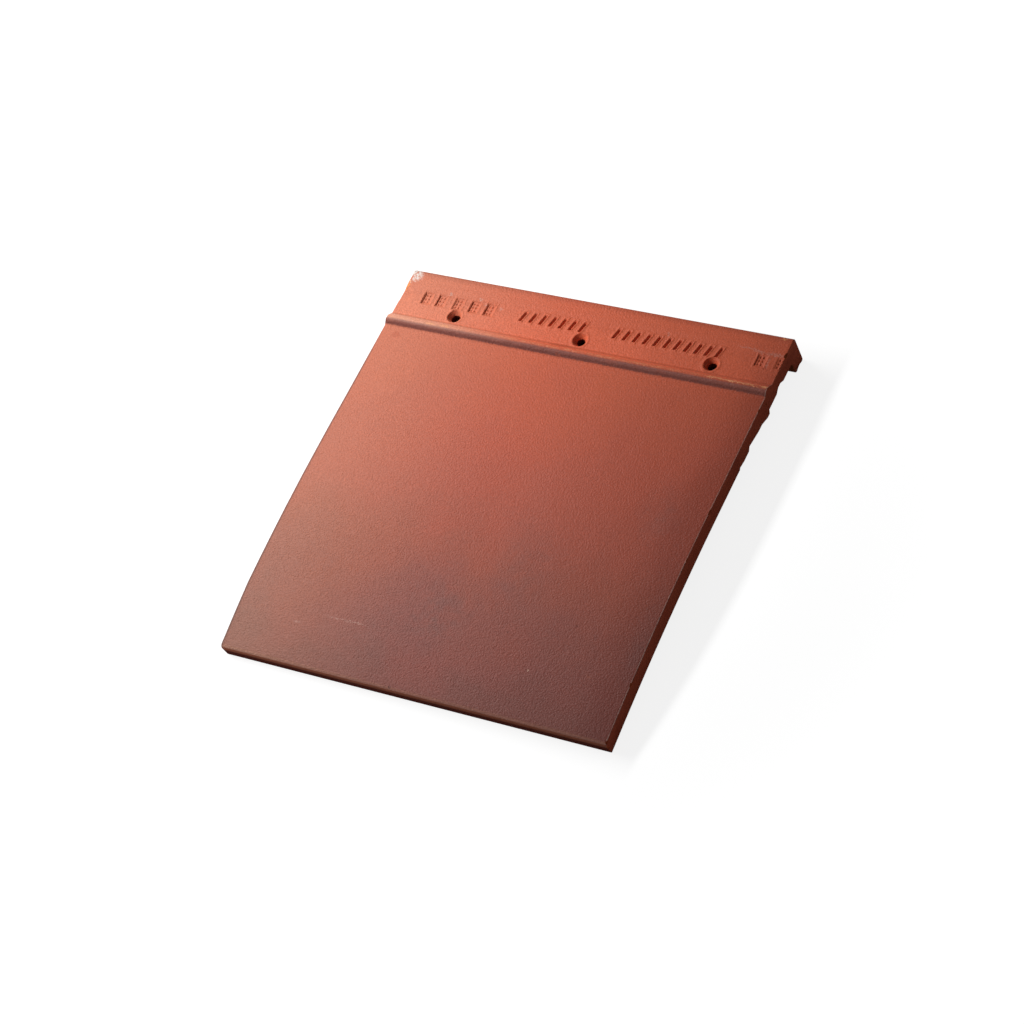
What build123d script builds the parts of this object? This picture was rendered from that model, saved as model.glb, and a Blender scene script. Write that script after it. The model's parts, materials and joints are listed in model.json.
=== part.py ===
from build123d import *

import os
from math import atan, degrees, sin

# A tile-and-a-half roof tile: a plain clay tile, half as wide again as its neighbours, for the
# end of every second course. The clay leaves the press sideways, as a strip with the nib, the
# bead and the ribs already on it, and a wire cuts it to width. So the whole tile is one section,
# pushed across its width, and pierced for its nails afterwards.
#
# X runs across the tile, Y from its tail to its head and Z up. It lies as it does on the ground,
# on its tail and on the foot of its nib. The origin is on the ground, under the middle of it.
# In the section, "along" counts from the tail and "setback" from the back of the head.

# Driving sizes, in millimetres
# Body
width = 255.0               # one and a half times the 170 mm of a common tile
length = 269.0
thickness = 10.5

# Level stretch and turned-down tail
level_length = 118.0        # from the back of the head to where the bend begins
tail_arris_radius = 2.5
tail_foot_radius = 0.8

# Nib, along the whole head
nib_depth = 9.4
nib_thickness = 10.4
nib_root_radius = 1.5
nib_foot_radius = 1.2
nib_foot_land = 2.2         # the flat left at each side of the hollow under its foot
nib_foot_hollow = 1.0
head_arris_radius = 2.0

# Gap that takes the batten, between the nib and the rib below it
batten_width = 32.0
batten_clearance = 1.0

# Rib under the body
rib_depth = 2.5
rib_crest = 3.0
rib_draft = 1.0             # how far its wall towards the batten leans
rib_slope = 7.0             # how far it runs out towards the tail
rib_radius = 0.6

# Two sawtooth grooves under the body, each a steep wall that then runs out towards the head
upper_groove_setback = 73.0
upper_groove_depth = 2.0
upper_groove_run = 14.0
lower_groove_setback = 86.0
lower_groove_depth = 0.9
lower_groove_run = 6.0

# Bead across the top, which stops driven rain
bead_setback = 32.9         # to its foot on the head's side
bead_height = 2.7
bead_crest = 2.4
bead_front_slope = 3.2      # towards the tail
bead_back_slope = 4.6       # towards the head
bead_radius = 0.9

# Strip between the bead and the head, rolled down a little
strip_depth = 0.5
strip_setback = 10.0        # to its edge on the head's side
strip_draft = 6.0           # so long that its edge hardly shows

# Nail holes, with the trough under them that thins the clay for piercing
nail_count = 3
nail_spacing = 86.0
nail_setback = 27.7
nail_hole_diameter = 5.2
nail_sink_diameter = 9.5
nail_sink_angle = 90.0
trough_depth = 2.0
trough_width = 10.0
trough_floor = 3.0
trough_radius = 1.5

# Heights and places worked out from the sizes
bed = nib_depth                                  # underside of the level stretch
face = bed + thickness                           # top of the level stretch
strip_face = face - strip_depth
nib_front = length - nib_thickness
nail_along = length - nail_setback
rib_wall = nib_front - batten_width - batten_clearance

# The bend is one arc. Its underside drops by the depth of the nib, so that the tail and the
# foot of the nib meet the ground together, and its end is square to the body.
bend_start = length - level_length
bend_angle = 2 * atan(nib_depth / bend_start)
bend_radius = bend_start / sin(bend_angle)


def outline(*corners, mode=Mode.ADD):
    """Fill a closed outline whose corners are (along, height, corner radius)."""
    points = [(along, height) for along, height, radius in corners]
    radii = [radius for along, height, radius in corners]
    with BuildLine() as edge:
        FilletPolyline(points, radius=radii, close=True)
    make_face(edge.edges(), mode=mode)


def groove(setback, depth, run):
    """Cut a sawtooth groove up into the underside."""
    wall = length - setback
    outline(
        (wall, 0, 0),
        (wall, bed, 0),
        (wall + depth, bed + depth, 0),
        (wall + run, bed, 0),
        (wall + run, 0, 0),
        mode=Mode.SUBTRACT,
    )


with BuildSketch() as section:
    # Body: the level stretch and the bend
    with BuildLine():
        underside = JernArc((bend_start, bed), (-1, 0), bend_radius, degrees(bend_angle))
        top = JernArc((bend_start, face), (-1, 0), bend_radius + thickness, degrees(bend_angle))
        Line(underside @ 1, top @ 1)
        Polyline(underside @ 0, (length, bed), (length, face), top @ 0)
    make_face()

    # Nib, and the hollow under its foot
    outline(
        (nib_front, face - head_arris_radius, 0),
        (nib_front, 0, nib_foot_radius),
        (nib_front + nib_foot_land, 0, 0),
        ((nib_front + length) / 2, nib_foot_hollow, nib_thickness / 2),
        (length - nib_foot_land, 0, 0),
        (length, 0, nib_foot_radius),
        (length, face - head_arris_radius, 0),
    )

    # Rib below the batten
    outline(
        (rib_wall, bed + thickness / 2, 0),
        (rib_wall, bed, 0),
        (rib_wall - rib_draft, bed - rib_depth, rib_radius),
        (rib_wall - rib_draft - rib_crest, bed - rib_depth, rib_radius),
        (rib_wall - rib_draft - rib_crest - rib_slope, bed, 0),
        (rib_wall - rib_draft - rib_crest - rib_slope, bed + thickness / 2, 0),
    )

    # Grooves and trough in the underside
    groove(upper_groove_setback, upper_groove_depth, upper_groove_run)
    groove(lower_groove_setback, lower_groove_depth, lower_groove_run)
    outline(
        (nail_along - trough_width / 2, bed, 0),
        (nail_along - trough_floor / 2, bed + trough_depth, trough_radius),
        (nail_along + trough_floor / 2, bed + trough_depth, trough_radius),
        (nail_along + trough_width / 2, bed, 0),
        mode=Mode.SUBTRACT,
    )

    # Sunk strip, then the bead along its lower edge
    outline(
        (length - bead_setback - bead_back_slope, face + bead_height, 0),
        (length - bead_setback - bead_back_slope, strip_face, 0),
        (length - strip_setback - strip_draft, strip_face, 0),
        (length - strip_setback, face, 0),
        (length - strip_setback, face + bead_height, 0),
        mode=Mode.SUBTRACT,
    )
    bead_back = length - bead_setback
    bead_crest_back = bead_back - bead_back_slope
    bead_crest_front = bead_crest_back - bead_crest
    outline(
        (bead_back, strip_face - strip_depth, 0),
        (bead_back, strip_face, 0),
        (bead_crest_back, face + bead_height, bead_radius),
        (bead_crest_front, face + bead_height, bead_radius),
        (bead_crest_front - bead_front_slope, face, 0),
        (bead_crest_front - bead_front_slope, strip_face - strip_depth, 0),
    )

    # Rounded corners: the nib's root, the back of the head and the two arrises of the tail
    for corner, radius in (
        ((nib_front, bed), nib_root_radius),
        ((length, face), head_arris_radius),
        (top @ 1, tail_arris_radius),
        (underside @ 1, tail_foot_radius),
    ):
        fillet(section.vertices().sort_by_distance(corner)[0], radius=radius)

# The section stands on edge, centred along the tile, and is pushed across the width
middle = section.sketch.bounding_box().center().X
section_plane = Plane(origin=(-width / 2, -middle, 0), x_dir=(0, 1, 0), z_dir=(1, 0, 0))

with BuildPart() as roof_tile:
    with BuildSketch(section_plane):
        add(section.sketch)
    extrude(amount=width)
    with Locations((0, nail_along - middle, strip_face)):
        with GridLocations(nail_spacing, 1, nail_count, 1):
            CounterSinkHole(
                radius=nail_hole_diameter / 2,
                counter_sink_radius=nail_sink_diameter / 2,
                counter_sink_angle=nail_sink_angle,
            )

roof_tile.part.label = "roof_tile"
os.makedirs("parts", exist_ok=True)
export_step(roof_tile.part, "parts/roof_tile.step")

extent = roof_tile.part.bounding_box().size
print(f"roof_tile {extent.X:.2f} x {extent.Y:.2f} x {extent.Z:.2f} mm, {roof_tile.part.volume / 1000:.1f} cm3")
print(f"bend {degrees(bend_angle):.2f} degrees, radius {bend_radius:.0f} mm")
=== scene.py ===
# %% [markdown]
# # A tile-and-a-half roof tile
#
# This is a plain clay roof tile, half as wide again as its neighbours, lying face up on a pale
# floor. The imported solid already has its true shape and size: the bend, the nib that hooks over
# a batten, the bead across the top, the ribs below and the three nail holes. What it lacks is
# everything that makes clay look like clay, and that is the work here: soft arrises, the stamped
# band at the head, chips, and a sprayed slip that goes from orange to a smoky purple.
#
# The file goes in the order of the work: the camera, the light, the shape, then the finishes.
# Shapes are worked out in millimetres and turned into Blender's metres at the last moment.

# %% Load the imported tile
import json
from math import cos, pi, radians, sin

import bmesh
import bpy
import numpy as np
from mathutils import Matrix, Vector


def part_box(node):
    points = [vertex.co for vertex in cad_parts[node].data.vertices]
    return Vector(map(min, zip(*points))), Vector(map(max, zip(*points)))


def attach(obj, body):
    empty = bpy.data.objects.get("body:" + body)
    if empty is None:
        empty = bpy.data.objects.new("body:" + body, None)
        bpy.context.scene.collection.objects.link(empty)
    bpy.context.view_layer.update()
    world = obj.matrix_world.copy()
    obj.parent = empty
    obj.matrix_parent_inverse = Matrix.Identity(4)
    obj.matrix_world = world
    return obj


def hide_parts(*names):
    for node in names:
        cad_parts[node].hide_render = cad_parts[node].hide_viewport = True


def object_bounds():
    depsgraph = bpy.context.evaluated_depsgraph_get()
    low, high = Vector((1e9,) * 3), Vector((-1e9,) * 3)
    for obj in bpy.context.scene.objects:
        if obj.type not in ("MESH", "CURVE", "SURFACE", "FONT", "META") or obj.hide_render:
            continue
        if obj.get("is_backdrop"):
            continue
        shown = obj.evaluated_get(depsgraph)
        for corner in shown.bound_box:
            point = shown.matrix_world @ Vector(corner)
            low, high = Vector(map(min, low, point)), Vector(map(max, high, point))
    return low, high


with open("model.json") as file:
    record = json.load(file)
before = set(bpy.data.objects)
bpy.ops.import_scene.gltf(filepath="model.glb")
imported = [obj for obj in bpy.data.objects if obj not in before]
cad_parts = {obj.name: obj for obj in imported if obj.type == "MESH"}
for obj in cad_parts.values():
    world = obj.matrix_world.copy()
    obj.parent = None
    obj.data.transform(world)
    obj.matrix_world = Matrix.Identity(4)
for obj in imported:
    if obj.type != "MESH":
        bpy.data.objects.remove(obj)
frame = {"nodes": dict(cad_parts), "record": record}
cad_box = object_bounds()
MM = 0.001
lowest, highest = (np.array(corner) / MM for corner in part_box("roof_tile"))
width, length, height = highest - lowest
side = highest[0]  # the right-hand side; the left-hand one is at -side
tail, head = lowest[1], highest[1]
TAIL_LEAN = 1.0  # mm that the tail's end leans out over its foot
foot = tail + TAIL_LEAN  # places "from the tail" below count from here
print(f"tile {width:.1f} x {length:.1f} x {height:.1f} mm")

# %% [markdown]
# ## Camera
#
# A product photo of a flat thing is taken from high up with a long lens, so that its edges stay
# nearly parallel. The camera is set the way a photographer would say it: which point it aims at,
# from which side, how high, how far and how much the camera is turned on its own axis. Those
# angles become the three axes of its matrix, which avoids any constraint or helper object.

# %% Place the camera
CAMERA_AIM = (0.8, -3.1, 0.0)  # mm, a point on the floor under the tile
CAMERA_AZIMUTH = 48.88  # degrees round from the tail towards the right-hand side
CAMERA_ELEVATION = 49.97
CAMERA_ROLL = -28.80
CAMERA_DISTANCE = 1893.7  # mm
CAMERA_LENS = 116.65  # mm, on a sensor 36 mm wide
CAMERA_REACH = 20  # m, past the far end of the floor

azimuth, elevation, roll = (radians(a) for a in (CAMERA_AZIMUTH, CAMERA_ELEVATION, CAMERA_ROLL))
backwards = Vector((sin(azimuth) * cos(elevation), -cos(azimuth) * cos(elevation), sin(elevation)))
level = Vector((cos(azimuth), sin(azimuth), 0))
upright = backwards.cross(level)
rightwards = level * cos(roll) + upright * sin(roll)
upwards = upright * cos(roll) - level * sin(roll)

camera = bpy.data.objects.new("camera", bpy.data.cameras.new("camera"))
camera.data.lens = CAMERA_LENS
camera.data.clip_end = CAMERA_REACH
axes = Matrix((rightwards, upwards, backwards)).transposed()
spot = (Vector(CAMERA_AIM) + backwards * CAMERA_DISTANCE) * MM
camera.matrix_world = Matrix.Translation(spot) @ axes.to_4x4()
bpy.context.scene.collection.objects.link(camera)
bpy.context.scene.camera = camera
bpy.context.scene.view_settings.view_transform = "Standard"
print("camera at", [round(c / MM) for c in spot], "mm")

# %% [markdown]
# ## Nodes and colours
#
# Every surface below is a small tree of shader nodes. One helper adds any node with its settings
# and its inputs. Where an input is another node it links that node's first output, and where it
# is one output of a node it links that. Another turns a colour written as sRGB hex, as a paint
# card has it, into the linear numbers that a shader works with. The rest are short ways to map,
# combine and mix values in the tree at hand, and to tell the rays that look at a thing from those
# that only carry its light.

# %% Helpers for nodes and colours
def add_node(tree, kind, inputs=None, **settings):
    """Add a node of a kind, with its settings and its inputs set or linked."""
    made = tree.nodes.new("ShaderNode" + kind)
    for name, value in settings.items():
        setattr(made, name, value)
    for socket, value in (inputs or {}).items():
        if isinstance(value, bpy.types.Node):
            value = value.outputs[0]
        if isinstance(value, bpy.types.NodeSocket):
            tree.links.new(value, made.inputs[socket])
        else:
            made.inputs[socket].default_value = value
    return made


def srgb(hex_colour):
    """Turn an sRGB colour such as "C86A46" into linear red, green, blue and alpha."""
    shares = [int(hex_colour[i : i + 2], 16) / 255 for i in (0, 2, 4)]
    return [s / 12.92 if s <= 0.04045 else ((s + 0.055) / 1.055) ** 2.4 for s in shares] + [1.0]


def new_material(name):
    """Make an empty material and give it back with its node tree."""
    material = bpy.data.materials.new(name)
    material.use_nodes = True
    material.node_tree.nodes.clear()
    return material, material.node_tree


def ease(value, start, end, low=0.0, high=1.0, how="SMOOTHSTEP"):
    """Map a value from one range to another, and hold it beyond the ends."""
    return add_node(tree, "MapRange", {"Value": value, "From Min": start, "From Max": end,
                                       "To Min": low, "To Max": high}, interpolation_type=how)


def calculate(operation, *values, clamp=False):
    """Combine numbers."""
    return add_node(tree, "Math", dict(enumerate(values)), operation=operation, use_clamp=clamp)


def times(a, b, clamp=False):
    """Multiply two numbers."""
    return calculate("MULTIPLY", a, b, clamp=clamp)


def blend(share, under, over):
    """Lay one colour over another by a share."""
    return add_node(tree, "MixRGB", {0: share, 1: under, 2: over})


def seen_or_mirrored():
    """1 where a thing is seen by the camera, mirrored by a gloss or seen through glass, and else 0."""
    rays = add_node(tree, "LightPath").outputs
    seen = calculate("MAXIMUM", rays["Is Camera Ray"], rays["Is Glossy Ray"])
    return calculate("MAXIMUM", seen, rays["Is Transmission Ray"])


# %% [markdown]
# ## Floor and light
#
# The tile was photographed on white, with one long softbox along its left-hand side, about as
# high up as it is far away. It does two things. Being near, it falls off across the tile, so the
# right-hand side is less than half as bright. And it lies where the camera would see it mirrored
# in the left-hand part of the tile, so it lifts a pale sheen off that part. Both come out right
# with a strip as long as two and a half tiles, hung in line with the tile's side.
#
# The floor has to look white without lighting the tile like a snowfield. So the camera, and any
# gloss, sees it glow at a strength of about 1, while the light that bounces off it comes from a
# plain grey. A share of what the camera sees stays diffuse, and that share keeps the shadow. The
# glow is a little weaker round the tile, where the shadow is wanted, than far from it. Right under
# the tile there is none, because hardly any light gets there, and so the nail holes look dark.

# %% Lay the floor
FLOOR_HALF = 4.0  # m
FLOOR_DROP = 0.00002  # m, so that the floor and the tile's feet don't share a plane
FLOOR_GREY = (0.55, 0.55, 0.55, 1)
SHADOW_SHARE = (0.30, 0.30, 0.30, 1)
FLOOR_GLOW = (0.85, 1.0)  # near the tile, and far from it
GLOW_REACH = (180, 420)  # mm from the tile's middle, where the one turns into the other
UNDER_TILE = (0.46 * width, 0.44 * length, 1000.0)  # mm; half the patch that the tile keeps dark
UNDER_FADE = (0.98, 1.0)  # shares of that patch where its edge begins and ends

floor_mesh = bpy.data.meshes.new("floor")
corners = [(x * FLOOR_HALF, y * FLOOR_HALF, -FLOOR_DROP) for x, y in ((-1, -1), (1, -1), (1, 1), (-1, 1))]
floor_mesh.from_pydata(corners, [], [(0, 1, 2, 3)])
floor = bpy.data.objects.new("floor", floor_mesh)
bpy.context.scene.collection.objects.link(floor)
floor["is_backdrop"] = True

paper, tree = new_material("white_paper")
bounce = add_node(tree, "BsdfDiffuse", {"Color": FLOOR_GREY})
shaded = add_node(tree, "BsdfDiffuse", {"Color": SHADOW_SHARE})
floor_place = add_node(tree, "TexCoord").outputs["Object"]
in_tiles = add_node(tree, "VectorMath", {0: floor_place, 1: [1 / (MM * s) for s in UNDER_TILE]},
                    operation="MULTIPLY")
beside = [calculate("ABSOLUTE", axis) for axis in add_node(tree, "SeparateXYZ", {0: in_tiles}).outputs[:2]]
uncovered = ease(calculate("MAXIMUM", *beside), *UNDER_FADE, how="LINEAR")
from_middle = add_node(tree, "VectorMath", {0: floor_place}, operation="LENGTH").outputs["Value"]
fading = ease(from_middle, *(reach * MM for reach in GLOW_REACH), *FLOOR_GLOW)
glow = add_node(tree, "Emission", {"Strength": times(uncovered, fading)})
looks = add_node(tree, "AddShader", {0: shaded, 1: glow})
both = add_node(tree, "MixShader", {0: seen_or_mirrored(), 1: bounce, 2: looks})
# From below the floor is clear, so that the underside of the tile can be looked at
geometry = add_node(tree, "NewGeometry")
clear = add_node(tree, "BsdfTransparent")
one_sided = add_node(tree, "MixShader", {0: geometry.outputs["Backfacing"], 1: both, 2: clear})
add_node(tree, "OutputMaterial", {"Surface": one_sided})
floor_mesh.materials.append(paper)

# %% Set the lights
AMBIENT = 0.12  # light from all round, as a share of a colour's written level
LAMP_PLACE = (-354, 87, 360)  # mm
LAMP_AIM = (-50, 87, 0)
LAMP_SIZE = (663, 65)  # mm, along the tile and across
LAMP_WATTS = 3.58

world = bpy.data.worlds.new("studio")
bpy.context.scene.world = world
world.use_nodes = True
tree = world.node_tree
tree.nodes.clear()
strength = ease(seen_or_mirrored(), 0.0, 1.0, AMBIENT, 1.0, how="LINEAR")
white = add_node(tree, "Background", {"Strength": strength})
add_node(tree, "OutputWorld", {"Surface": white})

key = bpy.data.objects.new("key_softbox", bpy.data.lights.new("key_softbox", "AREA"))
key.data.shape = "RECTANGLE"
key.data.size, key.data.size_y = (s * MM for s in LAMP_SIZE)
key.data.energy = LAMP_WATTS
key.location = Vector(LAMP_PLACE) * MM
key.rotation_euler = (Vector(LAMP_AIM) - Vector(LAMP_PLACE)).to_track_quat("-Z", "Y").to_euler()
key.visible_camera = False  # the picture may reach past it, but no photo shows its lamp
bpy.context.scene.collection.objects.link(key)

# %% [markdown]
# ## The section
#
# The clay of such a tile leaves the press as a long strip, shaped like the tile seen from its
# side, and a wire cuts the strip to width. So the real thing is one outline pushed sideways, and
# the mesh is made the same way: rows of points run along the outline, columns run across the
# tile. The outline could be typed in again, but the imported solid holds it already, exact to a
# hair, so it is read off the solid's right-hand side by walking round the edge of that face.

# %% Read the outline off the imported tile
WELD = 0.01  # mm; points closer than this are one point


def walk_round_side(node):
    """List the corners of the right-hand side as (y, z) in mm, from the tail up over the face."""
    solid = bmesh.new()
    solid.from_mesh(node.data)
    bmesh.ops.remove_doubles(solid, verts=solid.verts, dist=WELD * MM)
    on_side = {v for v in solid.verts if abs(v.co.x / MM - side) < WELD}
    cap = {f for f in solid.faces if on_side.issuperset(f.verts)}
    beside = {}
    for edge in solid.edges:
        if sum(f in cap for f in edge.link_faces) == 1:
            a, b = edge.verts
            beside.setdefault(a, []).append(b)
            beside.setdefault(b, []).append(a)
    start = min(beside, key=lambda v: v.co.y)
    walk = [start, max(beside[start], key=lambda v: v.co.z)]
    while walk[-1] != start:
        walk.append(next(v for v in beside[walk[-1]] if v != walk[-2]))
    corners = np.array([(v.co.y / MM, v.co.z / MM) for v in walk[:-1]])
    solid.free()
    return corners


outline = walk_round_side(frame["nodes"]["roof_tile"])
print(f"outline of {len(outline)} corners")

# %% [markdown]
# ## Rows along the outline
#
# The outline has points only where it turns. Clay isn't quite flat, so the long straight runs get
# points in between. They are close together in the band at the head that carries the stamps and
# the holes, further apart on the plain face and furthest apart underneath, where little happens.

# %% Fill in the rows
STAMP_BAND = (13.0, 33.6)  # mm down from the back of the head, where the rows are closest
FINE_ROW = 0.4
HEAD_ROW = 1.0
FACE_ROW = 2.0
UNDER_ROW = 4.0
HEAD_DEPTH = 46.0  # mm, from the back of the head to just below the bead
RELIEF_FROM = 0.5  # a row carries relief where its outward direction points up by more


def row_gap(y, facing_up):
    """How far apart the rows may be at a place on the outline."""
    down = head - y
    if not facing_up:
        return UNDER_ROW
    if STAMP_BAND[0] < down < STAMP_BAND[1]:
        return FINE_ROW
    return HEAD_ROW if down < HEAD_DEPTH else FACE_ROW


rows = []
for here, there in zip(outline, np.roll(outline, -1, axis=0)):
    step = there - here
    run = np.hypot(*step)
    walked = 0.0
    while walked < run - WELD:
        point = here + step * (walked / run)
        rows.append(point)
        walked += min(row_gap(point[0] + WELD, facing_up=step[0] > 0), run)
        if run - walked < FINE_ROW / 2:
            break
rows = np.array(rows)

before, after = rows - np.roll(rows, 1, axis=0), np.roll(rows, -1, axis=0) - rows
tangents = [t / np.linalg.norm(t, axis=1, keepdims=True) for t in (before, after)]
outward_a, outward_b = (np.stack([-t[:, 1], t[:, 0]], axis=1) for t in tangents)
# At a corner, the way out of both runs at once is their mitre
mitre = (outward_a + outward_b) / (1 + np.sum(outward_a * outward_b, axis=1, keepdims=True))
facing_up = mitre[:, 1] > RELIEF_FROM
down_from_head = head - rows[:, 0]
is_fine = facing_up & (down_from_head > STAMP_BAND[0]) & (down_from_head < STAMP_BAND[1])
print(f"{len(rows)} rows, {is_fine.sum()} of them fine")

# %% [markdown]
# ## Columns across the tile
#
# The wire leaves a crisp arris, and handling rounds it by a third of a millimetre. The columns near
# each side follow that quarter circle: as a column steps out towards the side, its outline
# shrinks inwards. Between the arrises the columns are evenly spaced, and the fine rows have five
# columns for each one of the others.

# %% Set out the columns
ARRIS = 0.35  # mm, radius of the arrises along both sides
ARRIS_STEPS = 4
COLUMN = 1.9
FINE_PER_COLUMN = 5

turns = np.linspace(0, pi / 2, ARRIS_STEPS + 1)[1:]
arris_x = side - ARRIS + ARRIS * np.sin(turns)
arris_inset = ARRIS * (1 - np.cos(turns))


def set_out(count):
    """Places of the columns across the tile, and how far each one's outline is drawn in."""
    inner = np.linspace(-(side - ARRIS), side - ARRIS, count + 1)
    x = np.concatenate([-arris_x[::-1], inner, arris_x])
    inset = np.concatenate([arris_inset[::-1], np.zeros(count + 1), arris_inset])
    return x, inset


spans = round((width - 2 * ARRIS) / COLUMN)
coarse_columns = set_out(spans)
fine_columns = set_out(spans * FINE_PER_COLUMN)
print(f"{len(coarse_columns[0])} columns, {len(fine_columns[0])} in the fine rows")

# %% [markdown]
# ## Relief
#
# What a roller, a stamp and a thumb do to soft clay is a change of height of the face, so each of
# them is written as a function: given the places of many points at once, it says by how many
# millimetres the face drops there. The effects simply add up.
#
# The first tool is an even roughness. A coarse grid of random heights is blended smoothly from
# knot to knot, which gives gentle swells about as wide as the grid's spacing.

# %% Smooth steps and gentle swells
KNOTS = 200  # along each side of the grid
GRID_CORNER = -200  # mm, across and along


def smooth(share):
    """Ease a share from 0 to 1, flat at both ends."""
    share = np.clip(share, 0, 1)
    return share * share * (3 - 2 * share)


def swells(x, y, spacing, seed):
    """Random smooth heights from -1 to 1, with knots the given number of mm apart."""
    knots = np.random.default_rng(seed).uniform(-1, 1, (KNOTS, KNOTS))
    across, along = (x - GRID_CORNER) / spacing, (y - GRID_CORNER) / spacing
    i, j = np.floor(across).astype(int), np.floor(along).astype(int)
    u, v = smooth(across - i), smooth(along - j)
    lower = knots[i, j] * (1 - u) + knots[i + 1, j] * u
    upper = knots[i, j + 1] * (1 - u) + knots[i + 1, j + 1] * u
    return lower * (1 - v) + upper * v


# %% [markdown]
# ## Stamps
#
# Small oblong stamps leave pockets in the band at the head: five at the left and two more at the
# right, the last of them cut through by the wire. Each stamp sits a little askew, so one side of
# its pocket is deeper. Every pocket holds the same plain pattern, two rows of three small pips.
#
# Between them a knurled bar has pressed two rows of short slanted keys, which give the mortar of
# a ridge or a verge something to grip. Clay can't vanish, so what a stamp pushes aside stands
# round its pocket as a low lip, and the lip's lit side is what makes a stamp look crisp.

# %% Press the pockets and keys
POCKET_SIZE = (6.2, 9.0)  # mm, across and along
POCKET_DOWN = 18.8  # mm from the back of the head to a pocket's middle
POCKETS = (  # mm across from the middle, mm deep, share that its left side is deeper
    (-109.5, 0.8, 0.15), (-99.4, 0.7, 0.14), (-87.6, 0.65, 0.0), (-76.4, 0.75, 0.04), (-65.8, 0.7, 0.2),
    (114.2, 0.42, 0.1), (126.6, 0.25, 0.0),
)
PIP_PLACES = [(i, j) for i in (-1.1, 1.1) for j in (-2.4, 0, 2.4)]  # mm from a pocket's middle
PIP_RADIUS = 0.75
PIP_DEPTH = 0.55
PIP_RIM = (1.2, 0.7)  # shares of that radius where a pip begins and is full
KEY_SIZE = (1.8, 7.4)  # mm
KEY_PITCH = 6.7
KEY_SLANT = 0.26  # how far a key leans across for each mm along
KEY_DOWN = 18.9
KEY_DEPTH = 1.0
KEY_ROWS = ((-42.5, 7), (20.5, 11))  # mm across to the first key, and how many keys
TILT_LIMIT = 1.5  # times a pocket's depth, and no deeper
WALL = (0.5, 1.1)  # mm that a stamp's walls take to reach its floor, across and along
LIP_SHARE = 0.3  # height of a lip for each mm of a stamp's depth
LIP_REACH = 0.5  # mm


def pressed(across, along, size, depth):
    """A rectangular pocket round (0, 0), with steep soft walls and a lip."""
    inside = (size[0] / 2 - abs(across), size[1] / 2 - abs(along))
    floor_share = np.minimum(smooth(inside[0] / WALL[0]), smooth(inside[1] / WALL[1]))
    lip = np.exp(-(((np.minimum(*inside) + LIP_REACH) / LIP_REACH) ** 2))
    return depth * (floor_share - LIP_SHARE * lip)


def stamps(x, y):
    """Drop of the face at the pockets, their pips and the keys."""
    drop = np.zeros_like(x)
    along = y - (head - POCKET_DOWN)
    for middle, depth, lean in POCKETS:
        across = x - middle
        tilt = 1 - lean * across / (POCKET_SIZE[0] / 2)
        drop += pressed(across, along, POCKET_SIZE, depth) * np.clip(tilt, 0, TILT_LIMIT)
        for pip_x, pip_y in PIP_PLACES:
            from_pip = np.hypot(across - pip_x, along - pip_y) / PIP_RADIUS
            drop += PIP_DEPTH * smooth((PIP_RIM[0] - from_pip) / (PIP_RIM[0] - PIP_RIM[1]))
    along = y - (head - KEY_DOWN)
    for first, count in KEY_ROWS:
        for k in range(count):
            across = x - (first + k * KEY_PITCH) - KEY_SLANT * along
            drop += pressed(across, along, KEY_SIZE, KEY_DEPTH)
    return drop


# %% [markdown]
# ## The rest of the head
#
# The edge of the stamping plate shows as a fine line above the stamps, and the roller that forms
# the bead leaves another at the bead's back. At the left end of the band is a faint long dent,
# where a thumb lifted the soft tile off its rack. Each nail hole was punched from above, and the
# clay that the punch pushed aside stands round it as a low lip. Drying leaves slow swells all
# over the face, and handling wears the bead's crest a little.

# %% Shape the head
PLATE_LINE_DOWN = 12.9  # mm from the back of the head
PLATE_LINE_DEPTH = 0.06
PLATE_LINE_ENDS = (-50, 98)  # mm across
PLATE_LINE_FADE = 3  # mm that each end takes to fade
PLATE_LINE_WANDER = (0.25, 30, 3)  # mm that the line strays, mm from one swell to the next, seed
BEAD_LINE_DOWN = 33.3
BEAD_LINE_DEPTH = 0.12
LINE_WIDTH = 0.45
DENT_PLACE = (-125.6, 19.0)  # mm across, and down from the back of the head
DENT_SIZE = (5.4, 7.0)
DENT_DEPTH = 0.35
DENT_STEEPNESS = 2.2
RIM_HEIGHT = 0.2
RIM_RADIUS = 5.3
RIM_WIDTH = 0.75
SWELLS = ((0.10, 34, 11), (0.04, 9, 12))  # mm high either way, mm from one to the next, seed
CREST = (38.7, 2.5)  # mm from the back of the head to the bead's crest, and half its width
CREST_SWELLS = (0.12, 6, 13)

nail_holes = [m for m in frame["record"]["mounts"] if m["kind"] == "bore"]
hole_places = [(m["pos_m"][0] / MM, m["pos_m"][1] / MM) for m in nail_holes]
hole_radius = nail_holes[0]["dims"]["r_mm"]


def head_marks(x, y):
    """Drop of the face at the two lines and the thumb's dent, less the rims of the nail holes."""
    strays, spacing, seed = PLATE_LINE_WANDER
    wander = strays * swells(x, y * 0, spacing, seed)
    down = head - y
    within = smooth(np.minimum(x - PLATE_LINE_ENDS[0], PLATE_LINE_ENDS[1] - x) / PLATE_LINE_FADE)
    drop = PLATE_LINE_DEPTH * within * np.exp(-(((down - PLATE_LINE_DOWN + wander) / LINE_WIDTH) ** 2))
    drop += BEAD_LINE_DEPTH * np.exp(-(((down - BEAD_LINE_DOWN) / LINE_WIDTH) ** 2))
    from_dent = np.hypot((x - DENT_PLACE[0]) / DENT_SIZE[0], (down - DENT_PLACE[1]) / DENT_SIZE[1])
    drop += DENT_DEPTH * smooth(DENT_STEEPNESS * (1 - from_dent))
    for hole_x, hole_y in hole_places:
        away = np.hypot(x - hole_x, y - hole_y)
        drop -= RIM_HEIGHT * np.exp(-(((away - RIM_RADIUS) / RIM_WIDTH) ** 2))
    return drop


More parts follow.
